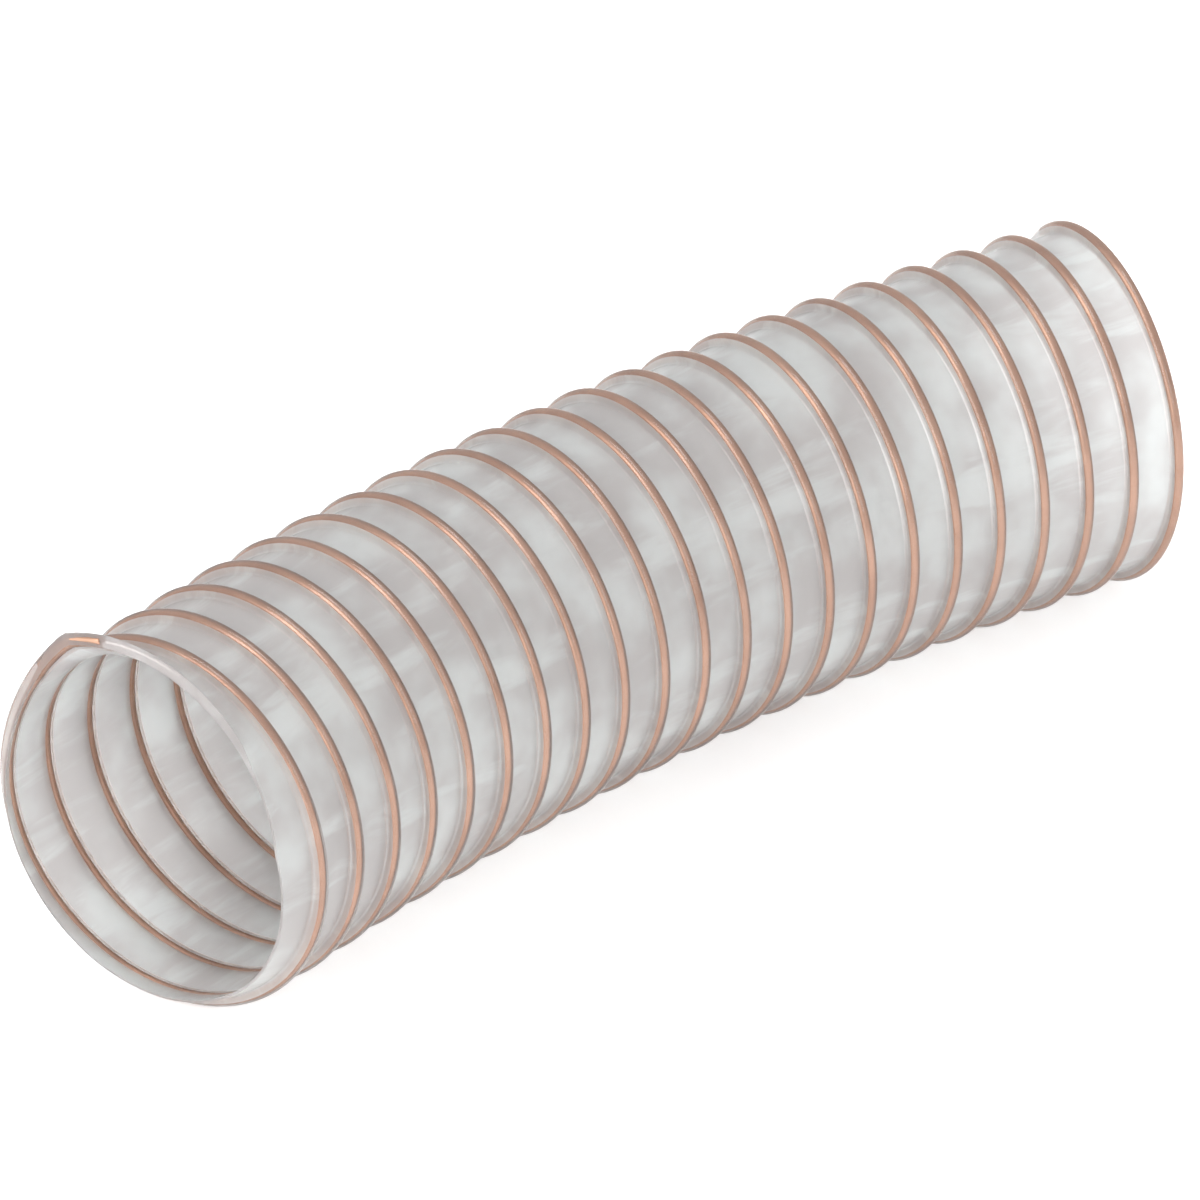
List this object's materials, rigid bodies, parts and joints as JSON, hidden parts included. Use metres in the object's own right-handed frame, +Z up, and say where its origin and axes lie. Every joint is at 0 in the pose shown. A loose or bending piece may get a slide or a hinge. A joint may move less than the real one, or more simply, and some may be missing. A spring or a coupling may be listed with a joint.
{
  "type": "wire reinforced flexible air hose",
  "caption": "Length of flexible air hose: a thin milky polyurethane film wound round a helical copper coated spring wire, cut square at both ends and lying in a gentle bend.",
  "frame": {"origin": "on the floor, under the middle of the hose's bounding box", "axes": "+X along the chord from the near mouth to the far end, +Y to the outside of the bend, +Z up"},
  "size_m": [0.385, 0.127, 0.1164],
  "materials": {
    "polyurethane_film": "milky translucent polyurethane, satin gloss, faintly wrinkled",
    "coppered_wire": "copper coated spring steel, drawn"
  },
  "bodies": {
    "root": {"hose_wall": "polyurethane_film", "wire_helix": "coppered_wire"}
  },
  "joints": []
}
